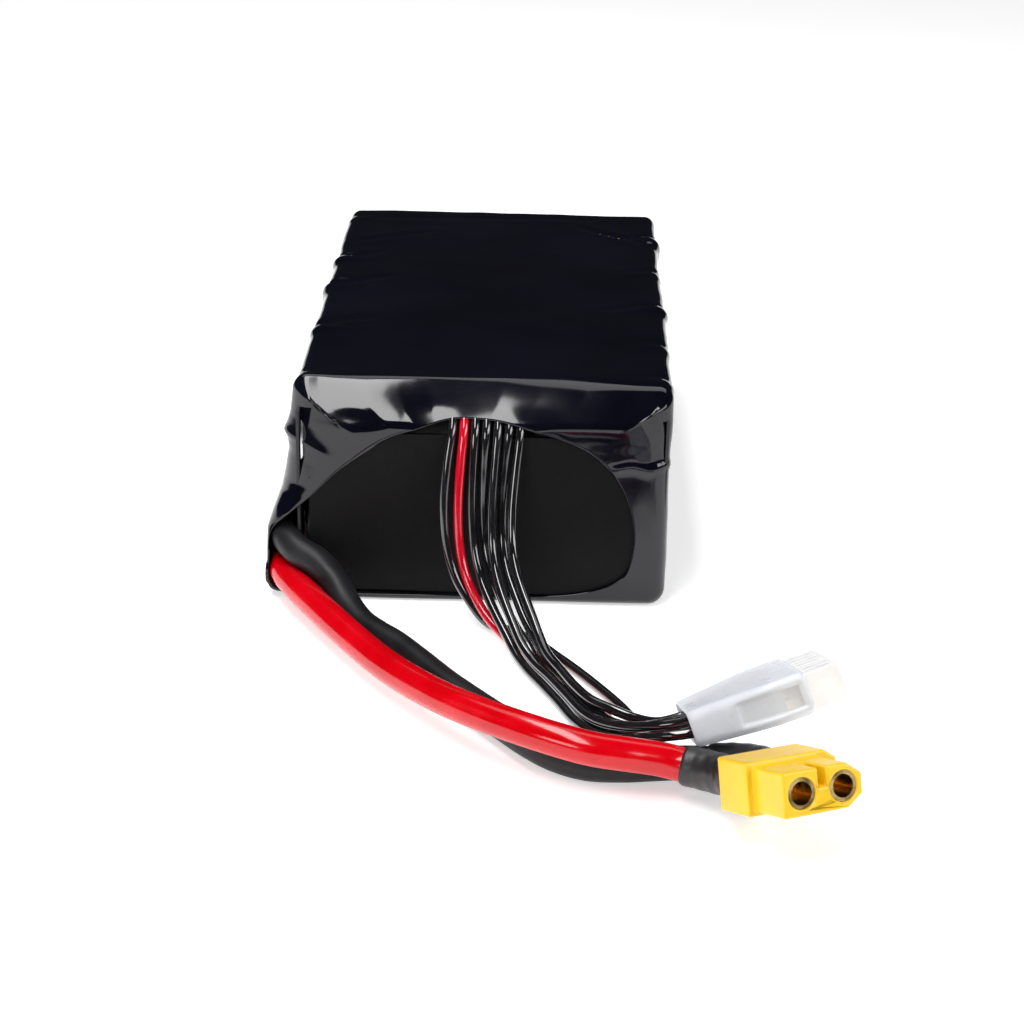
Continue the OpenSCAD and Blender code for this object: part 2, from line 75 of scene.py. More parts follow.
def ranged(tree, value, low, high):
    """The middle of a noise's range, spread from low to high."""
    node = tree.nodes.new("ShaderNodeMapRange")
    node.inputs["From Min"].default_value = 0.35
    node.inputs["From Max"].default_value = 0.65
    node.inputs["To Min"].default_value = low
    node.inputs["To Max"].default_value = high
    tree.links.new(value, node.inputs["Value"])
    return node.outputs[0]


def mixed(tree, factor, a, b):
    node = tree.nodes.new("ShaderNodeMix")
    node.data_type = "RGBA"
    node.inputs[6].default_value = (*a, 1)
    node.inputs[7].default_value = (*b, 1)
    tree.links.new(factor, node.inputs[0])
    return node.outputs[2]


def bumped(tree, shader, height, strength, distance):
    node = tree.nodes.new("ShaderNodeBump")
    node.inputs["Strength"].default_value = strength
    node.inputs["Distance"].default_value = distance
    tree.links.new(height, node.inputs["Height"])
    tree.links.new(node.outputs[0], shader.inputs["Normal"])


def surface(name, low, high, rough, scale, bump, fine, metallic=0.0, coat=0.0, ior=1.5, stretch=(1, 1, 1),
            specular=0.5):
    """A procedural finish: a broad noise of the given scale mixes two colours and a range of roughness,
    and a fine one is a relief with the given strength and depth."""
    mat, tree, shader, _ = new_material(name)
    where = object_coords(tree, stretch)
    broad = noise_node(tree, where, scale, 4, 0.2)
    tree.links.new(mixed(tree, ranged(tree, broad, 0, 1), low, high), shader.inputs["Base Color"])
    tree.links.new(ranged(tree, broad, rough[0], rough[1]), shader.inputs["Roughness"])
    shader.inputs["Metallic"].default_value = metallic
    shader.inputs["IOR"].default_value = ior
    shader.inputs["Specular IOR Level"].default_value = specular
    shader.inputs["Coat Weight"].default_value = coat
    shader.inputs["Coat Roughness"].default_value = 0.06
    small = noise_node(tree, where, fine, 2)
    bumped(tree, shader, small, bump[0], bump[1])
    return mat


FINISH = {
    "wrap_film": surface("wrap_film", (0.0018, 0.0018, 0.0045), (0.003, 0.003, 0.0075), (0.05, 0.12),
                         35, (0.12, 0.0002), fine=140),
    "black_board": surface("black_board", (0.0045, 0.0045, 0.005), (0.0075, 0.0075, 0.008), (0.5, 0.65),
                           60, (0.25, 0.00015), fine=900, specular=0.1),
    "green_board": surface("green_board", (0.03, 0.16, 0.08), (0.05, 0.22, 0.11), (0.35, 0.5), 90,
                           (0.3, 0.0001), fine=1500),
    "fish_paper": surface("fish_paper", (0.018, 0.018, 0.02), (0.03, 0.03, 0.032), (0.7, 0.85), 120,
                          (0.4, 0.0001), fine=1800),
    "amber_tape": surface("amber_tape", (0.5, 0.26, 0.04), (0.6, 0.34, 0.07), (0.15, 0.28), 60,
                          (0.2, 0.0001), fine=500, coat=0.4),
    "cell_steel": surface("cell_steel", (0.56, 0.57, 0.59), (0.66, 0.67, 0.69), (0.22, 0.36), 150,
                          (0.15, 0.00005), metallic=1, fine=1500),
    "cell_sleeve": surface("cell_sleeve", (0.004, 0.004, 0.005), (0.007, 0.007, 0.009), (0.45, 0.6), 50,
                           (0.15, 0.0001), fine=400),
    "nickel": surface("nickel", (0.6, 0.59, 0.54), (0.7, 0.69, 0.64), (0.25, 0.4), 200,
                      (0.2, 0.00004), metallic=1, fine=2500, stretch=(1, 0.15, 1)),
    "white_ring": surface("white_ring", (0.78, 0.78, 0.74), (0.86, 0.86, 0.83), (0.6, 0.75), 150,
                          (0.3, 0.00005), fine=1500),
    "wire_black": surface("wire_black", (0.006, 0.006, 0.007), (0.011, 0.011, 0.013), (0.08, 0.12), 300,
                          (0.01, 0.00001), fine=900, coat=1, ior=1.6),
    "wire_red": surface("wire_red", (0.5, 0.001, 0.012), (0.6, 0.003, 0.02), (0.1, 0.16), 250,
                        (0.01, 0.00001), fine=900, coat=1, ior=1.5),
    "lead_red": surface("lead_red", (0.52, 0.0, 0.003), (0.62, 0.0, 0.006), (0.12, 0.2), 120,
                        (0.12, 0.00006), fine=900),
    "lead_black": surface("lead_black", (0.007, 0.007, 0.008), (0.012, 0.012, 0.014), (0.38, 0.5), 120,
                          (0.12, 0.00006), fine=900, specular=0.3),
    "sleeve_black": surface("sleeve_black", (0.012, 0.012, 0.013), (0.022, 0.022, 0.024), (0.32, 0.46), 160,
                            (0.3, 0.0001), fine=1200),
    "solder": surface("solder", (0.6, 0.6, 0.62), (0.72, 0.72, 0.74), (0.2, 0.4), 250,
                      (0.4, 0.0001), metallic=1, fine=900),
    "connector_yellow": surface("connector_yellow", (0.8, 0.49, 0.003), (0.87, 0.55, 0.008), (0.3, 0.42),
                                140, (0.2, 0.00006), fine=1600, coat=0.15),
    "gold": surface("gold", (0.83, 0.58, 0.2), (0.92, 0.68, 0.28), (0.16, 0.28), 300,
                    (0.15, 0.00003), metallic=1, fine=2500),
    "plug_white": surface("plug_white", (0.8, 0.8, 0.8), (0.88, 0.88, 0.88), (0.35, 0.5), 200,
                          (0.2, 0.00005), fine=1800),
    "terminal": surface("terminal", (0.66, 0.62, 0.5), (0.76, 0.72, 0.6), (0.25, 0.4), 300,
                        (0.2, 0.00004), metallic=1, fine=2500),
}


def frosted_plastic():
    """Milky plastic that lets some of what is inside show through."""
    mat, tree, shader, out = new_material("boot_clear")
    where = object_coords(tree)
    broad = noise_node(tree, where, 180, 3)
    colour = mixed(tree, ranged(tree, broad, 0, 1), (0.88, 0.91, 0.95), (0.93, 0.95, 0.98))
    tree.links.new(colour, shader.inputs["Base Color"])
    tree.links.new(ranged(tree, broad, 0.24, 0.36), shader.inputs["Roughness"])
    shader.inputs["Coat Weight"].default_value = 0.3
    bumped(tree, shader, noise_node(tree, where, 1300, 2), 0.2, 0.00006)
    glow = tree.nodes.new("ShaderNodeBsdfTranslucent")
    tree.links.new(colour, glow.inputs["Color"])
    clear = tree.nodes.new("ShaderNodeBsdfTransparent")
    clear.inputs["Color"].default_value = (0.94, 0.96, 1, 1)
    milky = tree.nodes.new("ShaderNodeMixShader")
    milky.inputs[0].default_value = 0.35
    tree.links.new(shader.outputs[0], milky.inputs[1])
    tree.links.new(glow.outputs[0], milky.inputs[2])
    whole = tree.nodes.new("ShaderNodeMixShader")
    whole.inputs[0].default_value = 0.16
    tree.links.new(milky.outputs[0], whole.inputs[1])
    tree.links.new(clear.outputs[0], whole.inputs[2])
    tree.links.new(whole.outputs[0], out.inputs[0])
    return mat


FINISH["boot_clear"] = frosted_plastic()

# The material slot of each CAD node, and of the piece that replaces it
SLOT_OF = {
    "heat_shrink_wrap": "wrap_film", "front_end_board": "black_board", "rear_end_board": "black_board",
    "top_board": "green_board", "bottom_sheet": "fish_paper", "left_side_sheet": "fish_paper",
    "right_side_sheet": "fish_paper", "top_cover_tape": "amber_tape", "cell_sleeves": "cell_sleeve",
    "cell_caps": "nickel", "cell_insulator_rings": "white_ring", "balance_inner_runs": "wire_black",
    "solder_joint_pos": "solder", "solder_joint_neg": "solder", "power_lead_pos": "lead_red",
    "power_lead_neg": "lead_black", "power_sleeve_pos": "sleeve_black", "power_sleeve_neg": "sleeve_black",
    "connector_housing": "connector_yellow", "contact_pos": "gold", "contact_neg": "gold",
    "balance_plug_housing": "plug_white", "crimp_terminals": "terminal", "plug_boot": "boot_clear",
}
SLOT_OF.update({f"cell_{i}": "cell_steel" for i in range(1, 13)})
SLOT_OF.update({f"nickel_strip_{i}": "nickel" for i in range(1, 8)})
RED_WIRE = 5
SLOT_OF.update({f"balance_wire_{i}": "wire_red" if i == RED_WIRE else "wire_black" for i in range(1, 8)})


def finish_nodes():
    """Put the procedural materials on the CAD nodes that are carried over."""
    for name, node in nodes.items():
        for place in node.material_slots:
            place.material = FINISH[SLOT_OF[name]]


# ---------------------------------------------------------------- shapes
def stand_for(obj, replaced):
    """Give a new piece the body, material and slot of the CAD node that it replaces."""
    slot = SLOT_OF[replaced]
    obj.data.materials.append(FINISH[slot])
    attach(obj, "root")
    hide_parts(replaced)


def outward(mesh):
    """Turn all faces to the outside."""
    work = bmesh.new()
    work.from_mesh(mesh)
    bmesh.ops.recalc_face_normals(work, faces=work.faces)
    work.to_mesh(mesh)
    work.free()


def piece(name, verts, faces, replaced):
    """A smooth mesh, its points in millimetres, in place of a CAD node."""
    mesh = bpy.data.meshes.new(name)
    mesh.from_pydata([tuple(v) for v in np.asarray(verts) * MM], [], faces)
    mesh.validate()
    for poly in mesh.polygons:
        poly.use_smooth = True
    outward(mesh)
    obj = bpy.data.objects.new(name, mesh)
    bpy.context.scene.collection.objects.link(obj)
    stand_for(obj, replaced)
    return obj


def add_wall(obj, thickness):
    """Thicken a shell inward, in millimetres."""
    wall = obj.modifiers.new("wall", "SOLIDIFY")
    wall.thickness = thickness * MM
    wall.offset = -1


def smooth_line(points, steps):
    """A Catmull-Rom curve through the points, ends included."""
    p = [np.array(v, float) for v in points]
    p = [2 * p[0] - p[1]] + p + [2 * p[-1] - p[-2]]
    line = []
    for i in range(1, len(p) - 2):
        a, b, c, d = p[i - 1 : i + 3]
        for s in range(steps):
            t = s / steps
            line.append(0.5 * (2 * b + (c - a) * t + (2 * a - 5 * b + 4 * c - d) * t * t
                               + (3 * b - a - 3 * c + d) * t**3))
    line.append(p[-2])
    return np.array(line)


def ring_faces(rings, edges):
    """The faces between neighbouring rings of a tube."""
    faces = []
    for i in range(rings - 1):
        for e in range(edges):
            a, b = i * edges + e, i * edges + (e + 1) % edges
            faces.append([a, b, b + edges, a + edges])
    return faces


def step(value, low, high):
    """Rises smoothly from 0 at low to 1 at high."""
    t = np.clip((np.asarray(value, float) - low) / (high - low), 0, 1)
    return t * t * (3 - 2 * t)


# ---------------------------------------------------------------- camera
def place_camera():
    """A camera in front of the pack and above it, slightly rolled."""
    place = Vector((12.009, -413.721, 178.206)) * MM
    aim = Vector((4.624, 0, -7.21)) * MM
    roll = math.radians(1.3135)
    back = (place - aim).normalized()
    right = Vector((0, 0, 1)).cross(back).normalized()
    up = back.cross(right)
    across = right * math.cos(roll) + up * math.sin(roll)
    above = up * math.cos(roll) - right * math.sin(roll)
    camera = bpy.data.objects.new("camera", bpy.data.cameras.new("camera"))
    bpy.context.scene.collection.objects.link(camera)
    turn = Matrix((across, above, back)).transposed().to_4x4()
    camera.matrix_world = Matrix.Translation(place) @ turn
    camera.data.lens = 76.32
    camera.data.sensor_width = 36
    camera.data.clip_start = 0.01
    bpy.context.scene.camera = camera


place_camera()

# ---------------------------------------------------------------- the connector's and the plug's place
CONN_AT = Vector((49.5, -136, 11.3))
CONN_TURN = Euler([math.radians(a) for a in (-4, -21, -61)]).to_matrix()
PLUG_AT = Vector((35, -112.5, 7.2))
PLUG_TURN = Euler([math.radians(a) for a in (-23, -18, 12)]).to_matrix()
CUP_X = -12
CONTACT_PITCH = 7.2
PLUG_X = 14.7
PLUG_PITCH = 2.5
LEAD_D = 5.5
WIRE_D = 1.7
LEAD_X = -36.1
# Points on a cord's line for each point of its route
STEPS = 8


def on_conn(x, y, z):
    return tuple(CONN_AT + CONN_TURN @ Vector((x, y, z)))


def on_plug(x, y, z):
    return tuple(PLUG_AT + PLUG_TURN @ Vector((x, y, z)))


# ---------------------------------------------------------------- cords
POS_ROUTE = [
    (LEAD_X, -45, 5.6), (LEAD_X, -51, 5.4), (-35.6, -57, 5.2), (-33, -62.6, 5.2), (-29.4, -68.8, 5.2),
    (-24.8, -76.4, 5.2), (-20, -84, 5.2), (-15, -91.6, 5.4), (-9.5, -99.2, 6.1), (-3.5, -106.8, 7.2),
    (2.5, -113, 8.2), (9, -118, 8.7), (15, -121.2, 8.6), (20, -122.8, 8.2), (24.2, -122.8, 7.6),
    (28, -122.2, 6.8), (31.4, -121.9, 6.1), (34.3, -122.5, 5.7), (36.9, -123.7, 5.8),
    (39.1, -125.6, 6.3), on_conn(CUP_X, -CONTACT_PITCH / 2, 0)]
NEG_ROUTE = [
    (LEAD_X, -45, 12.4), (LEAD_X, -50, 12.2), (-35.7, -54.6, 11.5), (-33.2, -58.9, 10.6),
    (-29.2, -61.3, 9.2), (-25.9, -64, 6.9), (-23.3, -68, 4.2), (-20.4, -72.6, 2.9), (-17.2, -76.6, 2.8),
    (-13.6, -80.6, 2.8), (-9, -87, 2.8), (-4, -94.2, 2.8), (1, -100.5, 2.8), (6, -106.5, 2.8),
    (10.5, -112, 2.8), (14.8, -116, 2.8), (19.6, -118.2, 2.8), (25, -118.3, 2.8), (30, -117.6, 2.8),
    (34.5, -117.1, 2.9), (38.8, -117.8, 3.4), (42.6, -119.4, 4.5), (45.4, -121.8, 5.7),
    on_conn(CUP_X, CONTACT_PITCH / 2, 0)]
# Where each balance wire passes the film's lip, and its free route from there to the boot
WIRE_LIP_X = [-1.2, 2.8, 0.8, 4.8, -3.2, 6.8, -5.3]
WIRE_FREE = [
    [(-1.5, -60.2, 27), (-1.8, -61.4, 19.2), (-1.3, -62.7, 12.7), (0.3, -65.2, 8.2),
     (2.6, -69.3, 5.3), (5, -74.2, 3.2), (7.4, -79.6, 1.3), (9.5, -84.4, 0.9), (12, -89.4, 0.9),
     (14.8, -95.2, 0.9), (17.6, -101.6, 1), (21.2, -107.9, 2.1), (26.2, -112.8, 4.2),
     (31.2, -115.7, 6.7)],
    [(2.4, -60.6, 27), (1.8, -61.9, 19.4), (2, -63.5, 13.4), (3.2, -66.5, 9.6), (4.8, -71, 7.3),
     (6.6, -76, 5.5), (8.3, -80.6, 3.9), (10.6, -84.8, 2.7), (13.2, -89.4, 2.5), (16, -95.2, 2.5),
     (18.8, -101.4, 2.7), (22, -106.2, 3.5), (26, -110.8, 5.5), (30.6, -113.8, 7.6)],
    [(0.5, -59.6, 27), (0.2, -60.2, 19.2), (0.7, -61.3, 12.8), (2.2, -64, 8.7), (4.5, -68.7, 6.1),
     (7, -74, 4), (9.3, -78.8, 2.8), (11.4, -83.2, 1.2), (14.2, -88.6, 0.9), (17, -94.8, 0.9),
     (19.7, -101, 0.9), (22.6, -105.9, 1.5), (26.4, -110.4, 3.1), (31.2, -113.4, 5.3)],
    [(4.3, -59.6, 27), (3.5, -60.3, 19.4), (3.8, -61.6, 13.4), (5, -64.8, 9.8), (6.8, -69.7, 7.6),
     (8.8, -75, 5.6), (10.8, -79.4, 4.2), (12.8, -83.8, 2.8), (15.4, -88.8, 2.5),
     (18, -94.6, 2.5), (20.8, -100.6, 2.7), (23.2, -104.4, 2.8), (26.6, -108.6, 4.2),
     (30.6, -111.4, 6.4)],
    [(-3.8, -60.2, 27.5), (-4.2, -61.5, 20.1), (-4, -62.6, 13.4), (-2.7, -64.3, 8.4),
     (-0.4, -67, 5.2), (2.4, -70, 2.9), (5.8, -73.6, 1.2), (9.4, -77.4, 0.9), (13.1, -82.2, 0.9),
     (16.4, -87.6, 0.9), (19.6, -93.6, 0.9), (22.6, -99.4, 0.9), (24.8, -104, 1),
     (27.5, -108.2, 2.1), (31.2, -111, 4.3)],
    [(6.2, -60.6, 27), (5.3, -62.2, 19.9), (5.5, -64.2, 14.3), (6.8, -67.3, 10.9),
     (8.4, -72, 8.9), (10, -77, 7.3), (11.4, -81.4, 5.7), (12.8, -85.4, 4.7), (15, -90, 4.3),
     (17.4, -95.6, 4.3), (20, -100.4, 4.5), (23.4, -103.6, 4.6), (27.2, -106.2, 4.5),
     (30.8, -109.2, 5.6)],
    [(-6.2, -60.2, 28), (-6.9, -61.5, 21), (-6.6, -62.9, 14.2), (-4.8, -64.3, 8.4),
     (-1.9, -66.1, 4.2), (1.8, -67.8, 1.4), (6.2, -70, 0.9), (10.6, -73.6, 0.9), (14.5, -79, 0.9),
     (18, -84, 0.9), (21.5, -89.5, 0.9), (25, -95.5, 0.9), (27.6, -101, 1), (29.4, -105.2, 1.7),
     (31.7, -108.4, 3.4)]]
# Where each wire enters the boot, across and over the plug's middle
MOUTH_Y = [-3.9, -2.6, -1.3, 0, 1.3, 2.6, 3.9]
MOUTH_Z = [-0.95, 0.95, -0.95, 0.95, -0.95, 0.95, -0.95]


def wire_line(i):
    """One balance wire, from under the film's lip to its terminal in the plug."""
    my, mz, way = MOUTH_Y[i], MOUTH_Z[i], (i - 3) * PLUG_PITCH
    inside = [on_plug(0.5, my, mz), on_plug(6, my + (way - my) * 0.45, mz * 0.8),
              on_plug(11, my + (way - my) * 0.92, mz * 0.2), on_plug(PLUG_X, way, 0)]
    start = [(WIRE_LIP_X[i], -54, 36.5), (WIRE_LIP_X[i], -57.2, 33.9)]
    route = [np.array(v, float) for v in start + WIRE_FREE[i] + inside]
    # the hanging stretch is eased, so that it curves evenly
    for _ in range(2):
        route[2:7] = [(a + 2 * b + c) / 4 for a, b, c in zip(route[1:6], route[2:7], route[3:8])]
    return smooth_line(route, STEPS)


def cord_curve(name, line, diameter, replaced):
    """A round cord along a line, as a curve."""
    data = bpy.data.curves.new(name, "CURVE")
    data.dimensions = "3D"
    data.bevel_depth = diameter / 2 * MM
    data.bevel_resolution = 6
    data.use_fill_caps = True
    spline = data.splines.new("POLY")
    spline.points.add(len(line) - 1)
    for point, place in zip(spline.points, line):
        point.co = (*(place * MM), 1)
    spline.use_smooth = True
    obj = bpy.data.objects.new(name, data)
    bpy.context.scene.collection.objects.link(obj)
    stand_for(obj, replaced)
    return obj


pos_line = smooth_line(POS_ROUTE, STEPS)
neg_line = smooth_line(NEG_ROUTE, STEPS)
pos_lead = cord_curve("red_lead", pos_line, LEAD_D, "power_lead_pos")
neg_lead = cord_curve("black_lead", neg_line, LEAD_D, "power_lead_neg")
for i in range(7):
    line = wire_line(i)
    cord_curve(f"wire_{i + 1}", line, WIRE_D, f"balance_wire_{i + 1}")


# ---------------------------------------------------------------- shrunk film
# Half the width, the height, the corners' radii and the front end
SIDE, TOP = 34.0, 41.0
TOP_CORNER, BASE_CORNER = 2.4, 3.2
FRONT = -57.5
# Points round the film, and rings over its front, its rear and along its body
AROUND = 480
FRONT_RINGS, REAR_RINGS, BODY_RINGS = 30, 26, 76
WALL = 0.32
CELL_PITCH = 18.6
WIRES_X = 0.8
# The point of the front, seen end on, that the film's turn goes round
EYE = np.array([-4.0, 18.0])
# The free lip round the front opening, as x and z
FRONT_LIP = [
    (-38.75, 3.2), (-38.8, 7.5), (-38.6, 12), (-37.2, 14.6), (-34.2, 17.2), (-30.4, 20.6), (-26.2, 25),
    (-20.8, 29.2), (-15.4, 32.6), (-6.7, 35.2), (0, 35.5), (5.8, 34.9), (12.1, 33.3), (19.3, 30.1),
    (23.9, 25.8), (26.6, 20.6), (27.8, 14.7), (27.4, 9.3), (25.6, 5.6), (20.2, 3), (13, 1.8), (2, 1.4),
    (-12, 1.3), (-30, 1.2), (-36.8, 1.5)]
# How the film turns over the front edge: direction from the eye in degrees, reach back, reach
# inward, roundness (2 is an ellipse, less is flatter)
FRONT_TURN = [
    (0, 3.2, 3.2, 2), (12, 3.4, 3.6, 2), (24, 4.2, 9, 2), (31, 7, 10.5, 1.9), (46, 10.6, 9.2, 1.8),
    (58, 10, 9, 1.6), (72, 9, 8.5, 1.38), (88, 8.5, 8.3, 1.32), (104, 8.2, 8.2, 1.3),
    (116, 8.2, 8, 1.35), (127, 8.2, 8.8, 1.45), (138, 8, 12, 1.55), (145, 7.4, 15, 1.7),
    (153, 7.2, 13, 1.8), (162, 7.6, 10, 2), (172, 7.4, 7, 2), (182, 4.5, 3.4, 2), (192, 3, 2.2, 2),
    (207, 1.6, 1.4, 2), (230, 1.4, 1.4, 2), (270, 1.8, 1.8, 2), (325, 2.4, 2.4, 2), (340, 3, 3, 2),
    (360, 3.2, 3.2, 2)]
REAR_TURN = [(0, 2.6, 2.6, 2), (90, 2.4, 2.4, 2), (180, 2.6, 2.6, 2), (270, 2, 2, 2), (360, 2.6, 2.6, 2)]
REAR_OPENING = 26, 14
REAR_MIDDLE = 19.5
# Swelling of the film to the left, over the leads, by height
SWELLING = [(0, 3.4), (1.5, 4.5), (3, 5.2), (5.6, 5.35), (9, 5.3), (13, 5.1), (16, 4.1), (20, 2.6),
            (24, 1.9), (27.4, 1.3), (29.4, 1.6), (30.8, 2.2), (32.2, 1.5), (34, 0.9), (37, 0.5), (41, 0)]
# Pinches between the cells' rims along each top edge: place and force
LEFT_PINCHES = [(51.4, 0.35), (22.0, 1), (3.6, 1.1), (-22.0, 0.55), (-47, 0.25)]
RIGHT_PINCHES = [(39.9, 1.1), (17, 0.3), (-5.9, 0.9), (-28, 0.3), (-46, 0.4)]
# Creases on the top: start, end, depth, width
TOP_CREASES = [
    ((-31, 31.4), (-14, 40.1), 0.4, 0.8), ((17.3, 46.1), (34.1, 33), 0.45, 0.9),
    ((-33, 3), (-20, 8), 0.35, 0.9), ((-33, -21), (-22, -17), 0.35, 0.9), ((33, -6), (22, -9), 0.35, 0.9),
    ((-27, 50), (20, 52.5), 0.3, 1.1), ((33.5, 18), (25, 14), 0.3, 0.8), ((-33, 21), (-24, 24), 0.3, 0.8)]


def outline(count):
    """Points and outward directions evenly along a rectangle with round corners, from +X."""
    corners = [(SIDE, TOP, TOP_CORNER, 0), (-SIDE, TOP, TOP_CORNER, 90), (-SIDE, 0, BASE_CORNER, 180),
               (SIDE, 0, BASE_CORNER, 270)]
    dense, facing = [], []
    for x, z, r, first in corners:
        cx, cz = x - math.copysign(r, x), z - r if z else r
        for a in np.radians(np.linspace(first, first + 90, 40)):
            dense.append((cx + r * math.cos(a), cz + r * math.sin(a)))
            facing.append((math.cos(a), math.sin(a)))
    dense, facing = np.array(dense + dense[:1]), np.array(facing + facing[:1])
    run = np.concatenate([[0], np.cumsum(np.linalg.norm(np.diff(dense, axis=0), axis=1))])
    at = np.linspace(0, run[-1], count, endpoint=False)
    points = np.stack([np.interp(at, run, dense[:, k]) for k in (0, 1)], 1)
    normals = np.stack([np.interp(at, run, facing[:, k]) for k in (0, 1)], 1)
    return points, normals / np.linalg.norm(normals, axis=1)[:, None]


def ray_to_loop(angles, loop):
    """Where rays from the eye at the given angles meet a closed loop round it."""
    dense = smooth_line([*loop[-2:], *loop, *loop[:2]], 16)
    turn = np.arctan2(dense[:, 1] - EYE[1], dense[:, 0] - EYE[0])
    reach = np.hypot(dense[:, 0] - EYE[0], dense[:, 1] - EYE[1])
    far = np.interp(angles, turn, reach, period=2 * math.pi)
    return np.stack([EYE[0] + far * np.cos(angles), EYE[1] + far * np.sin(angles)], 1)


def bulge_shift(points, y):
    """The film's swelling to the left over the two leads."""
    height, wide = zip(*SWELLING)
    low = points[:, 1] < 26
    along = np.where(low, 1 - step(y, -38, -24), 1 - step(y, -54, -44))
    return -np.interp(points[:, 1], height, wide) * along * step(-points[:, 0], 18, 33)


def turn_table(angles, table):
    """Reach back, reach inward and roundness of the turn at the given angles."""
    cols = list(zip(*table))
    return [np.interp(np.degrees(angles), cols[0], col, period=360) for col in cols[1:]]


def end_rings(points, normals, lip, table, rings, bulged):
    """Rings of the film over an end, drawn at the front, from the body's edge in to the lip."""
    angles = np.arctan2(points[:, 1] - EYE[1], points[:, 0] - EYE[0])
    aim = ray_to_loop(angles, lip)
    back, reach, power = turn_table(angles, table)
    edge = points.copy()
    if bulged:
        edge[:, 0] += bulge_shift(points, np.full(len(points), FRONT))
    way = aim - edge
    dist = np.linalg.norm(way, axis=1)
    way /= np.maximum(dist, 1e-6)[:, None]
    last = np.arccos(np.clip(1 - dist / reach, 0, 1) ** (power / 2))
    # a rounded turn is about one and a half times as long as its reach
    arc = last / (math.pi / 2) * 1.5 * reach
    total = arc + np.maximum(dist - reach, 0)
    out = []
    for k in range(rings + 1):
        run = total * k / rings
        t = last * np.minimum(run / arc, 1)
        inset = reach * (1 - np.cos(t) ** (2 / power)) + np.maximum(run - arc, 0)
        depth = back * (1 - np.sin(t) ** (2 / power))
        square = ((1 - inset / np.maximum(dist, 1e-6)).clip(0, 1) ** 2)[:, None]
        spot = edge + inset[:, None] * (way * (1 - square) - normals * square)
        out.append(np.stack([spot[:, 0], FRONT + depth, spot[:, 1]], 1))
    return out


def wobble(p, scale, seed):
    """Smooth noise at a point, its waves of about the given length."""
    return noise.noise(Vector((p[0] / scale + seed, p[1] / scale, p[2] / scale)))


def crease_depth(x, y):
    """Depth of the creases on the top, each a furrow with a low ridge beside it."""
    total = 0.0
    for (x0, y0), (x1, y1), depth, width in TOP_CREASES:
        dx, dy = x1 - x0, y1 - y0
        length = math.hypot(dx, dy)
        t = np.clip(((x - x0) * dx + (y - y0) * dy) / length**2, 0, 1)
        gap = np.hypot(x - x0 - t * dx, y - y0 - t * dy)
        fade = np.sin(math.pi * np.clip(t, 0.06, 0.94)) ** 0.5
        ridge = 0.55 * np.exp(-((gap - 2 * width) / width) ** 2)
        total = total + depth * fade * (np.exp(-(gap / width) ** 2) - ridge)
    return total


def ring_normals(grid):
    """Outward directions of a tube of rings."""
    round_way = np.roll(grid, -1, axis=1) - np.roll(grid, 1, axis=1)
    along = np.gradient(grid, axis=0)
    normal = np.cross(along, round_way)
    return normal / np.maximum(np.linalg.norm(normal, axis=2), 1e-9)[:, :, None]


def dents(grid):
    """How far each point of the film moves out: soft waves, creases and pinches at the edges."""
    x, y, z = grid[:, :, 0], grid[:, :, 1], grid[:, :, 2]
    flat = grid.reshape(-1, 3)
    waves = np.array([wobble(p, 17, 3.1) * 0.3 + wobble(p, 6.5, 8.7) * 0.1 for p in flat]).reshape(x.shape)
    # the waves are weaker on the slope over the front
    slope = (1 - step(y, -52, -44)) * step(z, 30, 34)
    move = (waves - 0.12) * (1 - 0.8 * slope)
    # a shallow hollow at the left of that slope
    move -= 0.35 * np.exp(-((x + 23) / 5) ** 2 - ((z - 35.5) / 1.8) ** 2) * slope
    top = step(z, 39.5, 40.8)
    move -= crease_depth(x, y) * top
    # the film follows the rims of the cells along the two top edges
    for side, places in ((-1, LEFT_PINCHES), (1, RIGHT_PINCHES)):
        near = np.exp(-((x - side * 34) / 5) ** 2) * np.exp(-((z - 41) / 6) ** 2)
        for place, force in places:
            lifted = 0.75 * np.exp(-((y - place + 2.3) / 1.7) ** 2)
            notch = 1.25 * np.exp(-((y - place) / 0.75) ** 2)
            move += near * force * (lifted - notch)
    # hollows between the cells down both sides
    sides = step(np.abs(x), 31, 33.5) * step(z, 3, 9) * (1 - step(z, 36, 40)) * step(y, -50, -40)
    hollow = 0.5 + 0.5 * np.cos(2 * math.pi * (y - CELL_PITCH / 2) / CELL_PITCH)
    move -= sides * 0.35 * hollow**3
    # the fold across the front at the right
    fold = step(x, 21, 25) * np.exp(-((z - 27.5 - 0.25 * np.sin(x)) / 0.9) ** 2) * (1 - step(y, -56, -52))
    move += 0.4 * fold
    # the wires lift the lip where they come out from under it
    lift = (1 - step(np.abs(x - WIRES_X), 4, 15)) * (1 - step(y, -55, -52))
    move += 0.65 * lift * step(z, 32, 34.5) * (1 - step(z, 35.6, 38.6))
    return move * step(z, 0.2, 2.5)


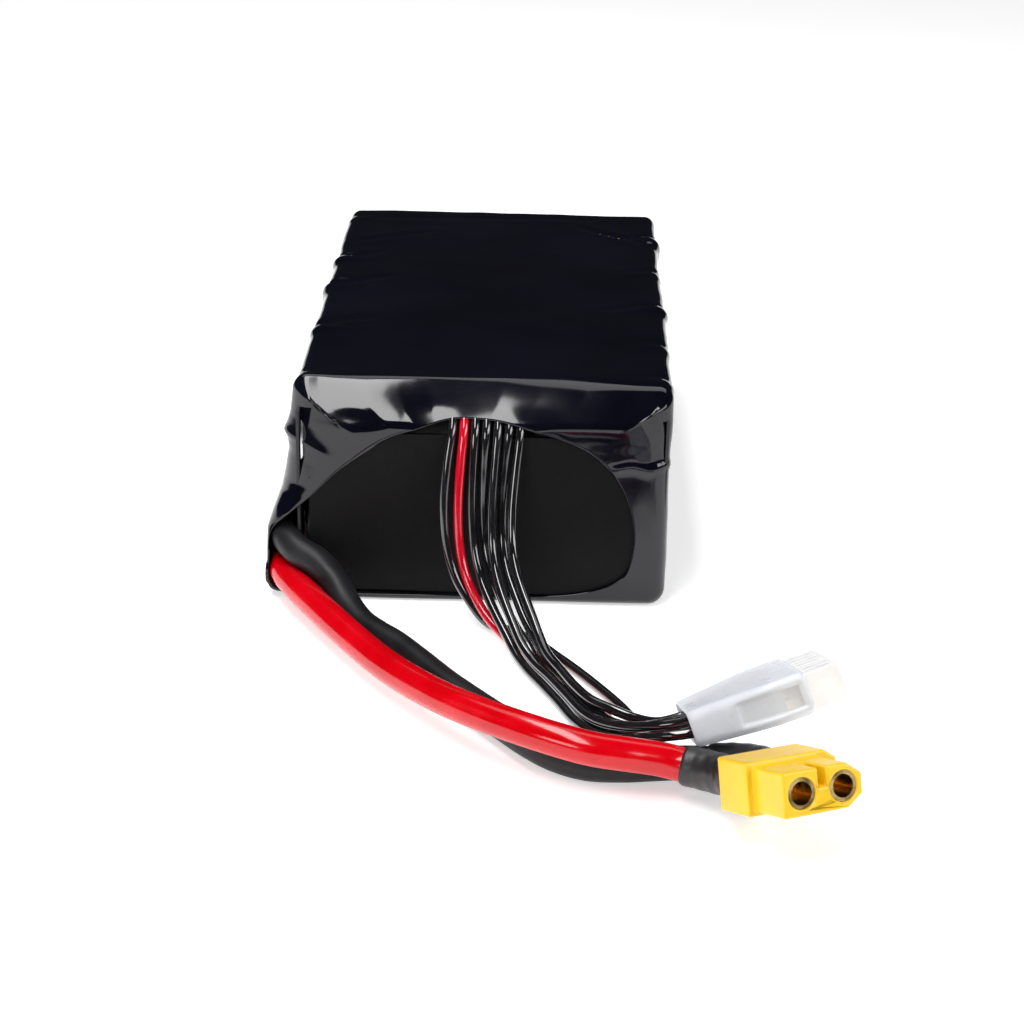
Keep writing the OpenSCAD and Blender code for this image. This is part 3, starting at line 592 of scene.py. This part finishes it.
def film():
    """The shrunk film as one tube of rings: in from the front lip, along the body, in to the rear lip."""
    points, normals = outline(AROUND)
    front = end_rings(points, normals, FRONT_LIP, FRONT_TURN, FRONT_RINGS, True)
    wide, high = REAR_OPENING
    rear_lip = [(wide * math.cos(a), REAR_MIDDLE + high * math.sin(a))
                for a in np.linspace(0, 2 * math.pi, 24, endpoint=False)]
    rear = end_rings(points, normals, rear_lip, REAR_TURN, REAR_RINGS, False)
    rear = [ring * np.array([1, -1, 1]) for ring in rear]
    y_front, y_rear = front[0][:, 1], rear[0][:, 1]
    body = []
    for k in range(1, BODY_RINGS):
        y = y_front + (y_rear - y_front) * k / BODY_RINGS
        x = points[:, 0] + bulge_shift(points, y)
        body.append(np.stack([x, y, points[:, 1]], 1))
    grid = np.array(front[::-1] + body + rear)
    grid = grid + ring_normals(grid) * dents(grid)[:, :, None]
    grid[:, :, 2] = np.maximum(grid[:, :, 2], 0.0)
    obj = piece("shrunk_film", grid.reshape(-1, 3), ring_faces(len(grid), AROUND), "heat_shrink_wrap")
    add_wall(obj, WALL)


film()


# ---------------------------------------------------------------- sleeves
SLEEVE_R = 3.2
SLEEVE_EDGES = 40
SLEEVE_RINGS = 70
# Rings of the sleeve's inner wall, at its open end
INNER_RINGS = 8
HOUSING_BACK = -8.05


def sweep(line, radii):
    """Rings of a round tube along a line, one radius per point."""
    ways = np.gradient(line, axis=0)
    ways /= np.linalg.norm(ways, axis=1)[:, None]
    side = np.cross(ways[0], (0, 0, 1))
    angles = np.linspace(0, 2 * math.pi, SLEEVE_EDGES, endpoint=False)[:, None]
    rings = []
    for centre, way, radius in zip(line, ways, radii):
        side = side - side.dot(way) * way
        side /= np.linalg.norm(side)
        other = np.cross(way, side)
        rings.append(centre + radius * (np.cos(angles) * side + np.sin(angles) * other))
    return np.array(rings)


def shrink_sleeve(name, line, first, side, replaced):
    """A sleeve over the last of a lead, its cup and up to the housing."""
    face = np.array(on_conn(HOUSING_BACK, side * CONTACT_PITCH / 2, 0))
    beyond = [line[-1] + (face - line[-1]) * t for t in np.linspace(0.1, 1, 12)]
    path = np.array([*line[first:], *beyond])
    run = np.concatenate([[0], np.cumsum(np.linalg.norm(np.diff(path, axis=0), axis=1))])
    total = run[-1]
    even = np.linspace(0, total, SLEEVE_RINGS)
    path = np.stack([np.interp(even, run, path[:, k]) for k in range(3)], 1)
    # it is drawn in behind the cup, stands out over it, ripples and ends in a turned-in edge
    outer = SLEEVE_R - 0.12 * np.exp(-((even - total + 4.6) / 0.9) ** 2)
    outer += 0.2 * np.exp(-((even - total + 2.2) / 0.9) ** 2)
    outer += 0.035 * np.sin(even * 2.1) * step(even, 1, 3) - 0.25 * (1 - step(even, 0, 0.5))
    inside = sweep(path[:INNER_RINGS], np.full(INNER_RINGS, LEAD_D / 2 + 0.02))[::-1]
    rings = np.concatenate([inside, sweep(path, outer)])
    piece(name, rings.reshape(-1, 3), ring_faces(len(rings), SLEEVE_EDGES), replaced)


shrink_sleeve("red_lead_sleeve", pos_line, 17 * STEPS, -1, "power_sleeve_pos")
shrink_sleeve("black_lead_sleeve", neg_line, 20 * STEPS, 1, "power_sleeve_neg")


# ---------------------------------------------------------------- boot
def boot_outline(x, wide, thick, corner):
    """A flat section with round corners, with a shallow window pressed into each narrow side."""
    half_w, half_t = wide / 2, thick / 2
    points = []
    for sy, sz, first in ((1, 1, 0), (-1, 1, 90), (-1, -1, 180), (1, -1, 270)):
        for a in np.radians(np.linspace(first, first + 90, 9)):
            points.append((sy * (half_w - corner) + corner * math.cos(a),
                           sz * (half_t - corner) + corner * math.sin(a)))
        # the narrow sides have points between their corners, for the window
        if sy != sz:
            straight = sz * (half_t - corner)
            points += [(sy * half_w, z) for z in np.linspace(straight, -straight, 14)[1:-1]]
    out = []
    for y, z in points:
        pressed = step(x, 7.2, 8) * (1 - step(x, 17.6, 18.3))
        pressed *= 1 - step(abs(z), half_t - 1.75, half_t - 1.3)
        if abs(y) > half_w - 0.9:
            y -= math.copysign(0.55 * float(pressed), y)
        out.append((x, y, z))
    return out


def boot():
    """The boot over the wires and the plug, wider towards the plug."""
    rings = []
    stops = [0, 0.15, 0.4, 1, 2, 4, 6, 6.8, 7.2, 7.6, 8, 8.6, 10, 11.5, 12.4, 13, 13.6, 14.5, 16, 17.2,
             17.6, 18, 18.4, 18.7, 18.9, 19]
    for x in stops:
        grow = 0.5 * step(x, -2, 13.5) + 0.5 * min(1, x / 13)
        wide, thick = 14.7 + 6.3 * grow, 5.9 + 1.1 * grow
        tuck = 0.3 * (1 - step(x, 0, 0.4)) + 0.45 * step(x, 18.5, 19.0)
        rings.append(boot_outline(x, wide - 2 * tuck, thick - 2 * tuck, 1.5))
    verts = [on_plug(*v) for ring in rings for v in ring]
    obj = piece("clear_boot", verts, ring_faces(len(rings), len(rings[0])), "plug_boot")
    add_wall(obj, 0.4)


boot()


# ---------------------------------------------------------------- softened edges
def soften(name, width):
    """Round the edges of a moulded or cut part."""
    weld = nodes[name].modifiers.new("weld", "WELD")
    weld.merge_threshold = 0.000002
    bevel = nodes[name].modifiers.new("soft_edges", "BEVEL")
    bevel.width = width * MM
    bevel.segments = 3
    bevel.limit_method = "ANGLE"
    bevel.angle_limit = math.radians(35)


soften("connector_housing", 0.35)
soften("balance_plug_housing", 0.18)
soften("front_end_board", 0.12)
soften("rear_end_board", 0.12)


# ---------------------------------------------------------------- floor, lights, world
def stage_floor():
    """A wide pale floor, just under the pack, that glows a little."""
    half = 14
    mesh = bpy.data.meshes.new("floor")
    mesh.from_pydata([(-half, -half, 0), (half, -half, 0), (half, half, 0), (-half, half, 0)], [],
                     [(0, 1, 2, 3)])
    floor = bpy.data.objects.new("floor", mesh)
    bpy.context.scene.collection.objects.link(floor)
    floor.location.z = -0.00002
    paper = surface("floor_paper", (0.93, 0.93, 0.935), (0.95, 0.95, 0.95), (0.85, 0.95), 8,
                    (0.05, 0.0001), fine=300, specular=0.1)
    shader = next(n for n in paper.node_tree.nodes if n.type == "BSDF_PRINCIPLED")
    shader.inputs["Emission Color"].default_value = (1, 1, 1, 1)
    shader.inputs["Emission Strength"].default_value = 0.5
    mesh.materials.append(paper)


def softbox(name, place, aim, size, strength):
    """An area light of the given size, turned to aim, its strength the same whatever its size."""
    light = bpy.data.lights.new(name, "AREA")
    light.shape = "RECTANGLE"
    light.size, light.size_y = size
    light.energy = strength * math.pi * size[0] * size[1]
    obj = bpy.data.objects.new(name, light)
    bpy.context.scene.collection.objects.link(obj)
    obj.location = place
    way = Vector(aim) - Vector(place)
    obj.rotation_euler = way.to_track_quat("-Z", "Y").to_euler()
    return obj


def stage_lights():
    """Softboxes round the pack, the key one narrow, so that the film shows it as one band."""
    softbox("key", (-0.115, -0.18, 0.52), (-0.115, -0.18, 0), (0.15, 0.62), 10)
    side = softbox("left", (-0.62, -0.12, 0.3), (0, -0.06, 0.02), (0.3, 0.3), 5)
    side.visible_glossy = False
    softbox("right", (0.75, -0.3, 0.4), (0.03, -0.1, 0.02), (0.4, 0.4), 5)
    softbox("front", (0.85, -0.85, 0.6), (0.03, -0.1, 0), (0.4, 0.4), 6)
    softbox("low_left", (-0.5, -0.8, 0.32), (0, -0.09, 0), (0.35, 0.2), 6)
    softbox("back", (0, 0.75, 1.3), (0, 0.42, 0), (1.6, 0.5), 1.6)
    world = bpy.data.worlds.new("studio")
    bpy.context.scene.world = world
    world.use_nodes = True
    shade = world.node_tree.nodes["Background"]
    shade.inputs[0].default_value = (0.9, 0.93, 1, 1)
    shade.inputs[1].default_value = 0.02


stage_floor()
stage_lights()
finish_nodes()

bpy.context.scene.view_settings.view_transform = "Standard"
